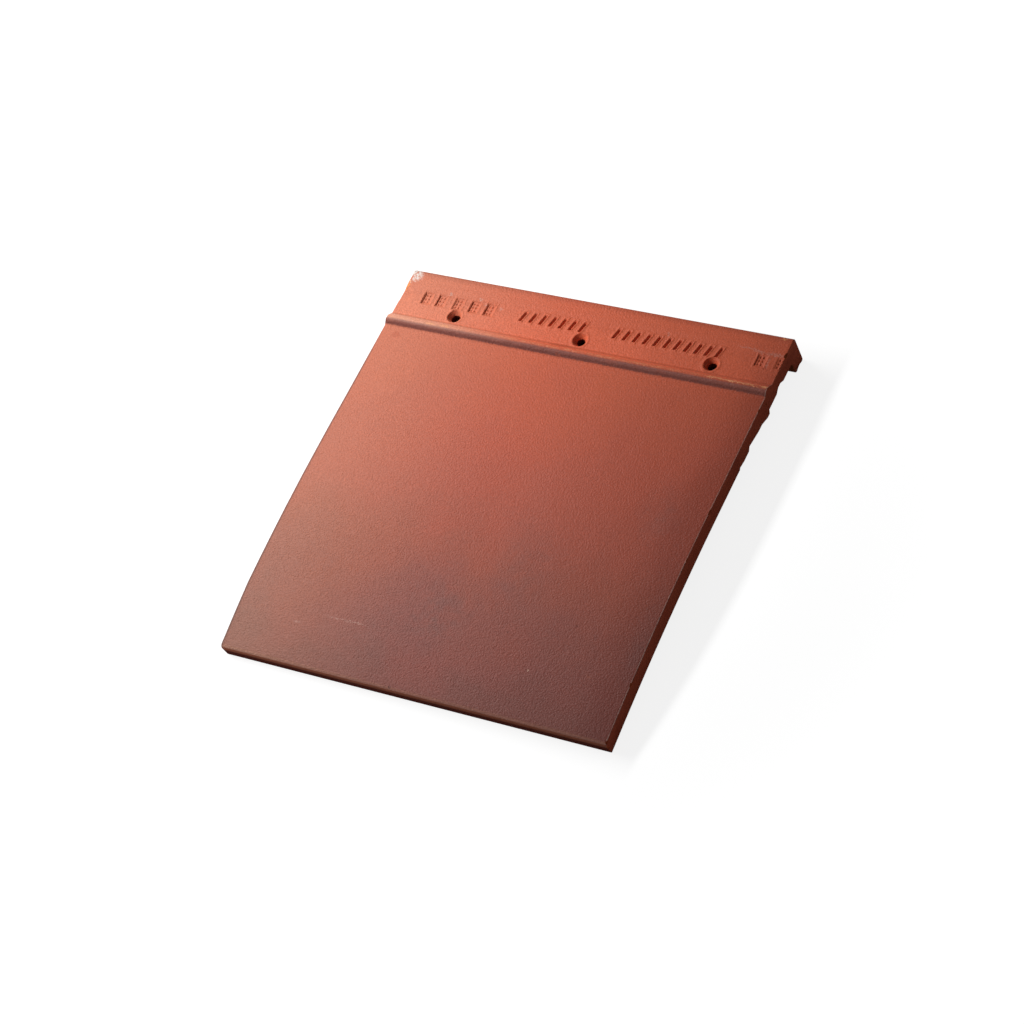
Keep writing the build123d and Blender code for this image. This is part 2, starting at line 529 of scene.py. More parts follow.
def unevenness(x, y):
    """Drop of the face at the slow swells and along the bead's worn crest."""
    drop = sum(high * (1 + swells(x, y, spacing, seed)) for high, spacing, seed in SWELLS)
    high, spacing, seed = CREST_SWELLS
    on_crest = np.exp(-(((head - y - CREST[0]) / CREST[1]) ** 2))
    return drop + on_crest * high * (1 + swells(x, y, spacing, seed))


# %% [markdown]
# ## Build the mesh
#
# Now rows and columns meet. Each row becomes a line of points across the tile, lowered by the
# relief where it looks up. At the left end of the tail the wire strayed as it left the clay, so
# the points near it are moved inwards. Rows with as many columns are joined by four-sided faces.
# Where a fine row meets a coarse one, a face has one edge on the coarse side and five on the fine
# side, so no gap opens. One many-sided face closes each side, as the wire's cut did.

# %% Make the points
RELIEF_FADE = 0.35  # how much further up a row points where the relief is full
STRAY = 1.8  # mm that the wire strayed inwards at the left end of the tail
STRAY_FROM = 42  # mm from the tail where it began to
STRAY_REACH = 16  # mm of the width that gives way to it

places, row_of, first_of_row = [], [], []
for i, (point, outward, fine) in enumerate(zip(rows, mitre, is_fine)):
    x, inset = fine_columns if fine else coarse_columns
    first_of_row.append(sum(len(p) for p in places))
    places.append(np.stack([x, point[0] - outward[0] * inset, point[1] - outward[1] * inset], axis=1))
    row_of.append(np.full(len(x), i))
points = np.concatenate(places)
row_of = np.concatenate(row_of)

lies_up = smooth((mitre[row_of, 1] - RELIEF_FROM) / RELIEF_FADE) * facing_up[row_of]
x, y = points[:, 0].copy(), points[:, 1]
points[:, 2] -= lies_up * (unevenness(x, y) + stamps(x, y) + head_marks(x, y))
past = np.clip(1 - (y - tail) / STRAY_FROM, 0, 1)
points[:, 0] += STRAY * past * smooth((STRAY_REACH - (side + x)) / STRAY_REACH)
print(f"{len(points)} points")

# %% Join them with faces
def column_count(i):
    """How many points a row has."""
    return len((fine_columns if is_fine[i] else coarse_columns)[0])


def join(i, j):
    """Faces between two rows. Where only one is fine, a coarse edge meets five fine ones."""
    alike = is_fine[i] == is_fine[j]
    faces = []
    for k in range(min(column_count(i), column_count(j)) - 1):
        middle = ARRIS_STEPS <= k < ARRIS_STEPS + spans
        past = min(max(k - ARRIS_STEPS, 0), spans)
        edges = []
        for row in (i, j):
            start, steps = first_of_row[row] + k, 1
            if is_fine[row] and not alike:
                start += past * (FINE_PER_COLUMN - 1)
                steps = FINE_PER_COLUMN if middle else 1
            edges.append([start + s for s in range(steps + 1)])
        faces.append(tuple(edges[0] + edges[1][::-1]))
    return faces


faces, face_rows, face_columns = [], [], []
for i in range(len(rows)):
    j = (i + 1) % len(rows)
    made = join(i, j)
    faces += made
    face_rows += [i] * len(made)
    face_columns += [min(k, len(made) - 1 - k) for k in range(len(made))]
left_side = tuple(first_of_row)
right_side = tuple(first + column_count(i) - 1 for i, first in enumerate(first_of_row))[::-1]
faces += [left_side, right_side]

mesh = bpy.data.meshes.new("roof_tile_clay")
mesh.from_pydata((points * MM).tolist(), [], faces)
tile = bpy.data.objects.new("roof_tile_clay", mesh)
bpy.context.scene.collection.objects.link(tile)
print(f"{len(faces)} faces, clean: {not mesh.validate()}")

# %% [markdown]
# ## Which clay shows where
#
# One lump of clay shows six kinds of surface. The face was sprayed with slip, and the tail's
# upright end is painted dark, a painted shade where it faces away from the lamp. The two sides were
# cut by the wire. The underside and the nib keep the plain skin of the press. The punch tore the
# clay inside the nail holes, and in the chips it is broken. Each gets a material of its own, made
# further on. The first four are handed out here, row by row and column by column.

# %% Make the materials and hand them out
OUTSIDE = ("sprayed_slip", "misted_clay", "wire_cut_clay", "pressed_clay")
INSIDE = ("punched_clay", "broken_clay")
SLIP, TAIL_END_DARK, WIRE_CUT, PRESSED = range(len(OUTSIDE))
SPRAYED_FROM = 0.35  # the spray reached rows whose outward direction points up by more
TAIL_END_DARK_FROM = -0.3  # and at the tail, rows that point up by more than this take the darker end's material
SLIP_PAST_ARRIS = 2  # steps of the side arris that the spray still reached

clays = {name: new_material(name) for name in OUTSIDE + INSIDE}
for name in OUTSIDE:
    mesh.materials.append(clays[name][0])

at_tail_end = (mitre[:, 1] > TAIL_END_DARK_FROM) & (rows[:, 0] < 0)
row_kind = np.where(mitre[:, 1] > SPRAYED_FROM, SLIP, np.where(at_tail_end, TAIL_END_DARK, PRESSED))
kinds = []
for i, column in zip(face_rows, face_columns):
    if column < ARRIS_STEPS - SLIP_PAST_ARRIS:
        kinds.append(WIRE_CUT)
    else:
        kinds.append(row_kind[i])
kinds += [WIRE_CUT, WIRE_CUT]
mesh.polygons.foreach_set("material_index", kinds)

# %% [markdown]
# ## Holes and chips
#
# Holes and chips take clay away, so they are cut with tools of the right shape, in one Boolean
# cut. A nail hole's tool is a punch: a straight shank with a bell above it. The punch leaned, so
# the bell's left side is steep with a crisp rim and its right side is rounded over. Its radius
# wavers a little, because a worn punch tears the clay. The right-hand one has torn it widest, and
# sits a little nearer to the head. A chip's tool is a pebble with dents, laid across an arris so
# that it takes a shallow bite. The faces that a tool leaves behind keep the tool's own material.
# So the bells come out in slip, because they were sprayed, and shanks and chips in open clay.

# %% Turn the punches
SINK_RADIUS = 4.75  # mm at the face
SINK_DEPTH = SINK_RADIUS - hole_radius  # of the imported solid's countersink, which leans at 45 degrees
sink_top = nail_holes[0]["pos_m"][2] / MM + nail_holes[0]["dims"]["length_mm"] / 2 + SINK_DEPTH
BREAKOUT = (  # mm: depth below the face, then how much wider than the shank
    (sink_top + 1.0, 0.5), (6.7, 0.3), (5.7, 0.0),
)
BELL = (  # mm: depth below the face, then how much wider left and right
    (3.0, 0.0, 0.0), (2.0, 0.75, 0.4), (1.0, 1.5, 1.1), (0.4, 1.9, 1.75), (0.0, 2.1, 2.35),
    (-0.2, 2.15, 2.8), (-1.0, 2.4, 3.6),
)
TORN = (0.1, 0.0, 0.15)  # mm that each hole's shank is wider than its punch
ASTRAY = (0.0, 0.0, 0.4)  # mm that each hole sits nearer to the head
PUNCH_SIDES = 40
WAVER = 0.05  # mm, each of three waves round the punch
WAVER_TWIST = 0.3  # radians that they turn for each mm of depth


def rings_to_mesh(name, rings):
    """Close a stack of rings of points, from the lowest to the highest, into a solid."""
    n = len(rings[0])
    skin = []
    for r in range(len(rings) - 1):
        for k in range(n):
            m = (k + 1) % n
            skin.append((r * n + k, r * n + m, (r + 1) * n + m, (r + 1) * n + k))
    skin.append(tuple(range(n))[::-1])
    skin.append(tuple((len(rings) - 1) * n + k for k in range(n)))
    made = bpy.data.meshes.new(name)
    made.from_pydata([tuple(np.array(p) * MM) for ring in rings for p in ring], [], skin)
    return made


def punch(name, middle, torn, seed):
    """The tool for one nail hole."""
    shank = hole_radius + torn
    profile = [(shank + wider, shank + wider, sink_top - depth) for depth, wider in BREAKOUT]
    for depth, *wider in BELL:
        share_torn = min(max(depth / BELL[0][0], 0), 1)
        to_left, to_right = (hole_radius + w + torn * share_torn for w in wider)
        profile.append((to_left, to_right, sink_top - depth))
    wave = np.random.default_rng(seed).uniform(0, 2 * pi, 3)
    rings = []
    for to_left, to_right, z in profile:
        ring = []
        for k in range(PUNCH_SIDES):
            angle = 2 * pi * k / PUNCH_SIDES
            waver = sum(WAVER * sin((n + 2) * angle + wave[n] + WAVER_TWIST * z) for n in range(3))
            r = to_left + (to_right - to_left) * (1 + cos(angle)) / 2 + waver
            ring.append((middle[0] + r * cos(angle), middle[1] + r * sin(angle), z))
        rings.append(ring)
    return rings_to_mesh(name, rings)


cutters = []
for number, (middle, torn, astray) in enumerate(zip(hole_places, TORN, ASTRAY)):
    tool = punch(f"punch_{number}", (middle[0], middle[1] + astray), torn, seed=20 + number)
    tool.materials.append(clays["punched_clay"][0])
    tool.materials.append(clays["sprayed_slip"][0])
    bell = tool.polygons[-2 - (len(BELL) - 1) * PUNCH_SIDES : -2]
    for face in bell:
        face.material_index = 1
    cutters.append(tool)

# %% Shape the pebbles
CHIPS = (  # mm: across, from the tail, below the face, then radii across, along and up
    (127.7, 217.0, 0.2, 0.9, 1.6, 0.9),
    (127.6, 256.4, 0.2, 1.2, 2.0, 1.0),
    (127.7, 146.9, 0.2, 0.9, 2.2, 0.9),
    (127.9, 185.0, 11.0, 1.0, 1.7, 0.9),
    (127.6, 35.2, 0.2, 1.0, 1.7, 1.0),
    (127.6, 0.6, 0.5, 1.1, 1.2, 0.9),
    (127.8, -0.4, 3.2, 0.7, 0.8, 1.4),
    (127.8, 114.6, 0.2, 0.8, 1.5, 0.8),
    (127.8, 86.0, 0.1, 0.6, 1.1, 0.6),
    (127.8, 241.0, 0.1, 0.7, 1.3, 0.7),
    (127.6, 224.5, 4.3, 0.5, 0.7, 1.2),
    (-127.7, 268.4, 0.8, 1.5, 1.2, 1.2),
    (-127.6, 35.0, 0.2, 0.6, 1.3, 0.7),
    (-127.8, 231.0, 0.1, 0.9, 1.2, 0.8),
    (-127.8, 98.0, 0.2, 0.6, 1.4, 0.7),
    (62.0, 269.0, 1.2, 2.0, 0.8, 0.8),
    (-34.0, 269.1, 1.4, 1.5, 0.7, 0.8),
)
DENTS = 5  # waves that dent a pebble
DENT_TURNS = 2.5  # radians that a wave turns over a pebble's radius
DENT_SHARE = 0.22  # of that radius
face_line = rows[facing_up][np.argsort(rows[facing_up][:, 0])]


def pebble(name, place, radii, seed):
    """A dented ball, the tool for one chip."""
    ball = bmesh.new()
    bmesh.ops.create_icosphere(ball, subdivisions=3, radius=1)
    lumps = np.random.default_rng(seed).normal(size=(DENTS, 3))
    for v in ball.verts:
        dent = sum(sin(DENT_TURNS * v.co.dot(Vector(lump)) + n) for n, lump in enumerate(lumps)) / DENTS
        r = 1 + DENT_SHARE * dent
        v.co = [(p + c * r * radius) * MM for p, c, radius in zip(place, v.co, radii)]
    made = bpy.data.meshes.new(name)
    ball.to_mesh(made)
    ball.free()
    return made


for number, (across, from_tail, below, *radii) in enumerate(CHIPS):
    y = foot + from_tail
    place = (across, y, np.interp(y, face_line[:, 0], face_line[:, 1]) - below)
    tool = pebble(f"pebble_{number}", place, radii, seed=40 + number)
    tool.materials.append(clays["broken_clay"][0])
    cutters.append(tool)
print(f"{len(cutters)} tools")

# %% Cut them out
toolbox = bpy.data.collections.new("toolbox")
bpy.context.scene.collection.children.link(toolbox)
for tool in cutters:
    toolbox.objects.link(bpy.data.objects.new(tool.name, tool))
cut = tile.modifiers.new("holes_and_chips", "BOOLEAN")
cut.operand_type = "COLLECTION"
cut.collection = toolbox
cut.solver = "EXACT"
cut.material_mode = "TRANSFER"
evaluated = tile.evaluated_get(bpy.context.evaluated_depsgraph_get())
cut_mesh = bpy.data.meshes.new_from_object(evaluated)
tile.modifiers.clear()
tile.data = cut_mesh
cut_mesh.name = "roof_tile_clay"
bpy.data.meshes.remove(mesh)
for tool in cutters:
    bpy.data.meshes.remove(tool)
bpy.data.collections.remove(toolbox)
print("materials", [m.name for m in cut_mesh.materials], f"{len(cut_mesh.polygons)} faces")

# %% [markdown]
# ## Smooth where clay is smooth
#
# Smooth shading hides the edges between faces, which suits everything but real arrises. So an
# edge stays sharp where its two faces meet at more than a set angle, and the big flat sides are
# shaded flat, because their few far-apart points would otherwise pull odd gradients across them.
# A cut also leaves slivers without any width, and those are dissolved first.

# %% Mark the sharp edges
SLIVER = 0.001  # mm, an edge or a face thinner than this is a leftover of the cut
SHARP_FROM = radians(42)
SIDE_FACE_POINTS = 40  # only the two wire-cut sides have this many

shell = bmesh.new()
shell.from_mesh(cut_mesh)
bmesh.ops.dissolve_degenerate(shell, dist=SLIVER * MM, edges=shell.edges)
for edge in shell.edges:
    edge.smooth = edge.calc_face_angle(0) < SHARP_FROM
for face in shell.faces:
    face.smooth = len(face.verts) < SIDE_FACE_POINTS
loose = [v for v in shell.verts if not v.link_faces]
open_edges = sum(len(e.link_faces) != 2 for e in shell.edges)
triangles = sum(len(f.verts) - 2 for f in shell.faces)
shell.to_mesh(cut_mesh)
shell.free()
print(f"{triangles} triangles, {open_edges} open edges, {len(loose)} loose points")

# %% [markdown]
# ## Sprayed slip
#
# Slip is clay stirred thin. It is sprayed on the dried tile and fires to a skin with a grain like
# orange peel and a faint satin sheen. Iron makes it orange. Towards the tail a second, smoky slip
# was misted over it, so the orange cools to a red-brown, and in patches to a dull purple.
#
# The tree follows that order: places and noise first, then the ground colour along the tile, then
# the smoke, then the marks of use, and the grain last. All of it is laid out in millimetres on
# the tile itself, so every mask below reads as a place on the clay.

# %% Slip: places and noise
tree = clays["sprayed_slip"][1]
here = add_node(tree, "TexCoord").outputs["Object"]
in_mm = add_node(tree, "VectorMath", {0: here, "Scale": 1 / MM}, operation="SCALE")


def noise_of(size, detail=2.0, roughness=0.5, stretch=(1, 1, 1)):
    """Noise whose lumps are about so many mm across, stretched along an axis if asked."""
    scaled = add_node(tree, "VectorMath", {0: in_mm, 1: [1 / (size * s) for s in stretch]},
                      operation="MULTIPLY")
    return add_node(tree, "TexNoise", {"Vector": scaled, "Scale": 1.0, "Detail": detail,
                                       "Roughness": roughness})


def strip(along, begins, full, full_to, ends):
    """1 on a strip across the tile and 0 beside it. Places are mm from the head, the lowest first."""
    return times(ease(along, head - begins, head - full), ease(along, head - ends, head - full_to))


def from_line(place, line):
    """Distance of a place from a line."""
    return calculate("ABSOLUTE", calculate("SUBTRACT", place, line))


def from_oval(place, across, from_tail, wide, long):
    """Distance from the middle of an oval, 1 at its edge. Its half width and length are in mm."""
    offset = add_node(tree, "VectorMath", {0: place, 1: (across, foot + from_tail, 0)},
                      operation="SUBTRACT")
    scaled = add_node(tree, "VectorMath", {0: offset, 1: (1 / wide, 1 / long, 0)}, operation="MULTIPLY")
    return add_node(tree, "VectorMath", {0: scaled}, operation="LENGTH").outputs["Value"]


def finish_clay(colour, roughness, gloss, bumps):
    """End a clay's tree with its shader."""
    clay = add_node(tree, "BsdfPrincipled", {"Base Color": colour, "Roughness": roughness, "IOR": 1.5,
                                             "Specular IOR Level": gloss, "Normal": bumps})
    add_node(tree, "OutputMaterial", {"Surface": clay})


PEEL = 1.05  # mm from one bump of the orange peel to the next
SAND = 0.7  # mm, the finest grain that shows
MOTTLE = 8  # mm from one blotch to the next
DRIFT_SIZE = 38  # mm from one slow change of colour to the next
WOBBLE = 1.0  # mm that the edges of marks stray
WOBBLE_SIZE = 1.2  # mm from one such stray to the next
NOISE_REACH = 0.25  # noise seldom strays further than this from its middle, 0.5

peel = noise_of(PEEL)
sand = noise_of(SAND, detail=1.0)
mottle = noise_of(MOTTLE, detail=3.0, roughness=0.6)
drift = noise_of(DRIFT_SIZE)
stray = add_node(tree, "VectorMath", {0: noise_of(WOBBLE_SIZE).outputs["Color"], 1: (0.5, 0.5, 0.5)},
                 operation="SUBTRACT")
stray = add_node(tree, "VectorMath", {0: stray, "Scale": WOBBLE / NOISE_REACH}, operation="SCALE")
strayed = add_node(tree, "VectorMath", {0: in_mm, 1: stray}, operation="ADD")
part = add_node(tree, "SeparateXYZ", {0: in_mm}).outputs
strayed_part = add_node(tree, "SeparateXYZ", {0: strayed}).outputs

# %% Slip: the ground colour along the tile
GROUND = (  # mm from the tail, colour
    (8, "875047"), (32, "915147"), (62, "975245"), (92, "A15341"), (125, "AD5440"), (170, "B5553E"),
    (225, "BE593C"),
)
DRIFT = 14  # mm that the ground colours stray up and down the tile

strayed_y = calculate("ADD", part[1], ease(drift, 0.3, 0.7, -DRIFT, DRIFT))
ground = add_node(tree, "ValToRGB", {0: ease(strayed_y, tail, head, how="LINEAR")})
stops = ground.color_ramp.elements
while len(stops) < len(GROUND):
    stops.new(0.5)
for stop, (from_tail, hex_colour) in zip(stops, GROUND):
    stop.position = from_tail / length
    stop.color = srgb(hex_colour)

# %% [markdown]
# The smoky slip lies in soft-edged patches. Each is an oval whose strength eases to nothing at
# its edge, and a few have a negative strength: there the mist missed and the red shows. Mottled
# noise breaks them all up.

# %% Slip: smoke
SMOKE = srgb("74544F")
EMBER = srgb("A04C32")
SMOKE_BROKEN = (0.5, 1.5)  # times its strength, from the thinnest blotch to the thickest
PATCHES = (  # mm: across, from the tail, half width, half length, then strength
    (-3, 48, 30, 38, 0.34), (40, 90, 30, 40, 0.22), (22, 116, 22, 26, 0.08), (101, 139, 22, 30, 0.24),
    (86, 44, 34, 40, 0.14), (-117, 40, 16, 34, 0.22), (-38, 28, 34, 40, 0.20), (30, 58, 60, 50, 0.10),
    (-32, 66, 28, 26, 0.12), (-84, 60, 42, 48, -0.22), (-118, 12, 28, 30, 0.18), (53, 38, 18, 18, -0.12),
    (-66, 84, 26, 28, -0.10), (124, 58, 10, 46, 0.32),
)

smoke = 0.0
for *oval, strength in PATCHES:
    smoke = calculate("ADD", smoke, ease(from_oval(in_mm, *oval), 1.0, 0.0, 0.0, strength))
broken_up = ease(mottle, 0.3, 0.7, *SMOKE_BROKEN)
smoked = blend(times(smoke, broken_up, clamp=True), ground, SMOKE)
missed = times(times(smoke, -1.0), broken_up, clamp=True)
smoked = blend(missed, smoked, EMBER)

# %% [markdown]
# The slip's colour changes over the tile, partly in the slip and partly as painted light. The
# left-hand side is painted paler and tanner, a painted sheen where the softbox is mirrored in it.
# The right-hand side and the back edge of the head are darker, and the strip above the bead is
# lighter again. The bead's front, which faced the smoky gun, took so much of it that it fired to a
# dark purple-brown band, and the corner at its foot is painted darker still, a painted shade. The
# groove at the foot of the bead's back is painted darker, a painted shade, and the slope behind the
# crest is painted lighter, a painted highlight, paler still on its left half. The tail's rounding
# is painted lighter and paler, painted light on a curve that turns away from the lamp.

# %% Slip: shades and the bead
# Painted sheen: the left-hand side is painted paler and tanner, where the softbox is mirrored in the slip
PAINTED_SHEEN = srgb("A67C65")
PAINTED_SHEEN_SHARE = 0.36  # at the left-hand side, fading to none at the middle
PAINTED_SHEEN_STRIP = (39, 36, 1.15)  # mm from the head, then how much more of it lies above the bead
# Darker towards the right-hand side, and less so towards the head
RIGHT_DARKENING = srgb("5A1E14")
RIGHT_DARKENING_DRIFT = 5  # mm that it strays
RIGHT_DARKENING_SHARES = ((10, 100, 0.18), (95, 127, 0.32))  # mm across from where to where, then its share
RIGHT_DARKENING_HEAD = (30, 12, 0.55)  # mm from the head, then how much of it is left there
STRIP_SHADES = (  # mm from the head, from where to where, then what it multiplies by
    (38, 36, 1.22), (24, 16, 0.92), (6, 0.5, 0.75),
)
BACK_LINE_PAINTED_SHADE = (34.5, 0.7, 0.2, 0.88)  # painted shade in the groove at the foot of the bead's back: mm from the head, half its width, half its core, and what it multiplies by
BACK_SLOPE = (38.2, 37.4, 35.4, 34.6)  # mm from the head, the slope behind the bead's crest
# Painted highlight: the slope behind the bead's crest is painted lighter by this factor
BACK_SLOPE_PAINTED_LIGHT = 1.12
TAIL_ROUND = (2.3, 0.3)  # mm from the tail, where its rounding begins and is steepest
# Painted light: the tail's rounding is painted lighter by this factor, where it turns away from the lamp
TAIL_ROUND_PAINTED_LIGHT = 1.45
BAND = (42.7, 41.9, 39.5, 38.1)  # mm from the head, the dark band on the bead's front
BAND_COLOUR = srgb("80493F")
BAND_FOOT_SHADE = (41.5, 1.2, 0.1, 0.75)  # painted shade in the corner at the band's foot: mm from the head, half width and core of its darkest line, and share
# Colour of the painted shade in the corner at the band's foot
BAND_FOOT_SHADE_COLOUR = srgb("66332A")
STEADY = 0.75  # share of their straying that the band's edges don't take part in
PAINTED_LIGHT_COLOUR = srgb("E2B79E")  # painted light: paler on the left of the bead's back, a painted highlight, and on the tail's rounding
HIGHLIGHT_ON_BEAD_STRIP = (41.0, 37.4, 35.0, 33.6)  # mm from the head
HIGHLIGHT_ON_BEAD_ACROSS = (-20, -105, 0.34)  # mm across from where to where, then its share
PAINTED_LIGHT_ON_TAIL = 0.23

# The painted sheen, strongest at the left-hand side, with more of it above the bead
above_bead = ease(part[1], head - PAINTED_SHEEN_STRIP[0], head - PAINTED_SHEEN_STRIP[1], 1.0, PAINTED_SHEEN_STRIP[2])
painted_sheen = times(ease(part[0], 0, -side, 0.0, PAINTED_SHEEN_SHARE), above_bead)
painted_sheen = blend(painted_sheen, smoked, PAINTED_SHEEN)
# Darker towards the right-hand side, fading towards the head
strayed_x = calculate("ADD", part[0], ease(drift, 0.3, 0.7, -RIGHT_DARKENING_DRIFT, RIGHT_DARKENING_DRIFT))
right_darkening = 0.0
for begin, full, share in RIGHT_DARKENING_SHARES:
    right_darkening = calculate("ADD", right_darkening, ease(strayed_x, begin, full, 0.0, share))
left = ease(part[1], head - RIGHT_DARKENING_HEAD[0], head - RIGHT_DARKENING_HEAD[1], 1.0, RIGHT_DARKENING_HEAD[2])
right_darkening = blend(times(right_darkening, left), painted_sheen, RIGHT_DARKENING)

# Tone of the slip along the tile, then painted shade at the bead's back line and painted light on the back
# slope and the tail's rounding
shade = 1.0
for begin, full, factor in STRIP_SHADES:
    shade = times(shade, ease(part[1], head - begin, head - full, 1.0, factor))
# Painted shade along the groove at the foot of the bead's back
setback, half, core, factor = BACK_LINE_PAINTED_SHADE
shade = times(shade, ease(from_line(part[1], head - setback), half, core, 1.0, factor))
# Painted highlight: the slope behind the bead's crest is painted lighter
shade = times(shade, ease(strip(part[1], *BACK_SLOPE), 0.0, 1.0, 1.0, BACK_SLOPE_PAINTED_LIGHT))
# Painted light on the tail's rounding
on_round = ease(part[1], tail + TAIL_ROUND[0], tail + TAIL_ROUND[1])
shade = times(shade, ease(on_round, 0.0, 1.0, 1.0, TAIL_ROUND_PAINTED_LIGHT))
shaded = add_node(tree, "VectorMath", {0: right_darkening, "Scale": shade}, operation="SCALE")

band_y = ease(STEADY, 0.0, 1.0, strayed_part[1], part[1], how="LINEAR")
on_band = times(strip(band_y, *BAND), ease(mottle, 0.25, 0.6, 0.85, 1.0))
banded = blend(on_band, shaded, BAND_COLOUR)
# Painted shade in the corner at the foot of the band
setback, half, core, share = BAND_FOOT_SHADE
banded = blend(ease(from_line(band_y, head - setback), half, core, 0.0, share), banded, BAND_FOOT_SHADE_COLOUR)

# Painted highlight on the left half of the bead's back, and painted light on the tail's rounding
painted_light = times(strip(part[1], *HIGHLIGHT_ON_BEAD_STRIP), ease(part[0], *HIGHLIGHT_ON_BEAD_ACROSS[:2], 0.0, HIGHLIGHT_ON_BEAD_ACROSS[2]))
painted_light = calculate("ADD", painted_light, times(on_round, PAINTED_LIGHT_ON_TAIL))
banded = blend(painted_light, banded, PAINTED_LIGHT_COLOUR)

# %% [markdown]
# ## Marks on the slip
#
# Small marks lie on the slip. A pale line runs along the right-hand arris and a dark one along the
# left. Along the back of the bead's crest runs a lighter line with orange spots, partly worn and
# partly a painted highlight. A lime-white scuff from handling covers the left corner of the head.
# Specks of lime and grit, dark pits and two light scratches lie where they fell, so they are a
# plain list of places.

# %% Slip: wear, scuff and specks
# Partly wear and partly painted highlight, along the back of the bead's crest
WEAR_AND_HIGHLIGHT = srgb("DE9A6C")
ARRIS_PALE_LINE = srgb("A8877D")
LIME = srgb("D2C8C0")
LEFT_EDGE_DARK = srgb("4E3A34")
CREST_LINE = (37.5, 0.9, 0.3)  # mm from the head, then half the width of the worn and highlighted line and its core
CREST_SPOT = (1.6, 3.5)  # mm that a worn spot is long, and how many times that it is wide
CREST_SHARE = 0.22  # wear and painted highlight all along the crest
CREST_WEAR_AND_HIGHLIGHT = (  # mm across, mm that it reaches, and how much more wear and highlight there
    (-92, 14, 0.45), (100, 16, 0.95), (122, 10, 0.8), (20, 60, 0.10), (-40, 30, 0.05),
)
PALE_LINE = (1.0, 0.5, 0.6)  # mm from the right-hand side where it begins and is full, and its share
PALE_LINE_ENDS = (246, 226)  # mm from the tail, where the line has faded and where it begins to
LEFT_EDGE_DARK_LINE = (1.8, 0.72, 0.6)  # the same, from the left-hand side
LEFT_EDGE_DARK_ENDS = (235, 190)
SCUFF = (-126.0, 264.4, 6.6, 5.4)  # mm: across, from the tail, half width, half length
SCUFF_SHARE = 0.92
SPECKS = (  # mm: across, from the tail, half width, half length, colour, strength
    (-95.7, 256.2, 1.3, 0.9, "B9A39A", 0.7), (-74.6, 256.0, 1.1, 0.7, "B9A39A", 0.6),
    (-70.0, 253.2, 0.8, 0.8, "B9A39A", 0.5), (-59.0, 252.4, 0.9, 0.8, "B9A39A", 0.5),
    (103.0, 256.8, 6.0, 0.6, "A98F86", 0.3), (111.0, 255.8, 4.0, 0.8, "A98F86", 0.3),
    (121.0, 255.6, 5.0, 1.0, "A98F86", 0.35), (118.8, 249.0, 0.7, 4.0, "A98F86", 0.3),
    (122.0, 267.0, 1.8, 0.6, "D9905F", 0.7), (52.0, 256.0, 0.7, 1.2, "A98F86", 0.5),
    (-127.0, 257.0, 1.3, 3.6, "EA8C3E", 0.9), (-126.4, 267.8, 1.2, 0.8, "5A3020", 0.9),
    (-55.0, 32.0, 14.0, 0.4, "BE968A", 0.5), (-85.0, 24.4, 1.8, 0.7, "B58C80", 0.5),
    (66.0, 29.0, 0.55, 0.45, "C9A08C", 0.8), (102.0, 34.0, 2.2, 0.8, "A86048", 0.3),
    (96.0, 57.0, 1.4, 1.2, "5A2E28", 0.35), (-117.0, 221.0, 3.0, 2.4, "9A4630", 0.5),
    (-8.0, 234.6, 9.0, 1.5, "9C452A", 0.6), (-8.0, 227.0, 2.2, 1.6, "9C452A", 0.45),
    (-11.0, 0.6, 0.8, 0.7, "3A201A", 0.9), (44.2, 48.0, 0.8, 0.7, "5A302A", 0.6),
    (118.4, 80.3, 0.8, 0.7, "4E2822", 0.6), (81.9, 60.8, 0.8, 0.7, "5A302A", 0.6),
)

# A lighter line along the back of the bead's crest: partly wear, partly painted highlight
wear_and_highlight = CREST_SHARE
for across, reach, strength in CREST_WEAR_AND_HIGHLIGHT:
    wear_and_highlight = calculate("ADD", wear_and_highlight, ease(from_line(part[0], across), reach, reach * 0.3, 0.0, strength))
spots = noise_of(CREST_SPOT[0], stretch=(CREST_SPOT[1], 1, 1))
wear_and_highlight = times(wear_and_highlight, ease(spots, 0.4, 0.6))
on_crest = ease(from_line(strayed_part[1], head - CREST_LINE[0]), *CREST_LINE[1:])
coloured = blend(times(on_crest, wear_and_highlight, clamp=True), banded, WEAR_AND_HIGHLIGHT)

# A pale line along the right-hand arris
pale_line = times(ease(part[0], side - PALE_LINE[0], side - PALE_LINE[1], 0.0, PALE_LINE[2]),
              ease(mottle, 0.3, 0.6, 0.4, 1.0))
pale_line = times(pale_line, ease(part[1], *(foot + end for end in PALE_LINE_ENDS)))
coloured = blend(pale_line, coloured, ARRIS_PALE_LINE)
# A dark line along the left-hand edge, which follows the wire's stray
edge = ease(part[1], tail, tail + STRAY_FROM, STRAY - side, -side, how="LINEAR")
from_edge = calculate("SUBTRACT", part[0], edge)
left_edge_dark = times(ease(from_edge, LEFT_EDGE_DARK_LINE[0], LEFT_EDGE_DARK_LINE[1], 0.0, LEFT_EDGE_DARK_LINE[2]),
              ease(part[1], *(foot + end for end in LEFT_EDGE_DARK_ENDS)))
coloured = blend(left_edge_dark, coloured, LEFT_EDGE_DARK)

grit = ease(sand, 0.38, 0.58, 0.1, 1.0)
for *oval, hex_colour, strength in SPECKS:
    speck = ease(from_oval(strayed, *oval), 1.25, 0.7, 0.0, strength)
    coloured = blend(times(speck, grit), coloured, srgb(hex_colour))

rubbed = noise_of(2.0, detail=3.0, roughness=0.7)
scuff = times(ease(from_oval(strayed, *SCUFF), 1.1, 0.6), ease(rubbed, 0.38, 0.58, 0.0, SCUFF_SHARE))
coloured = blend(scuff, coloured, LIME)

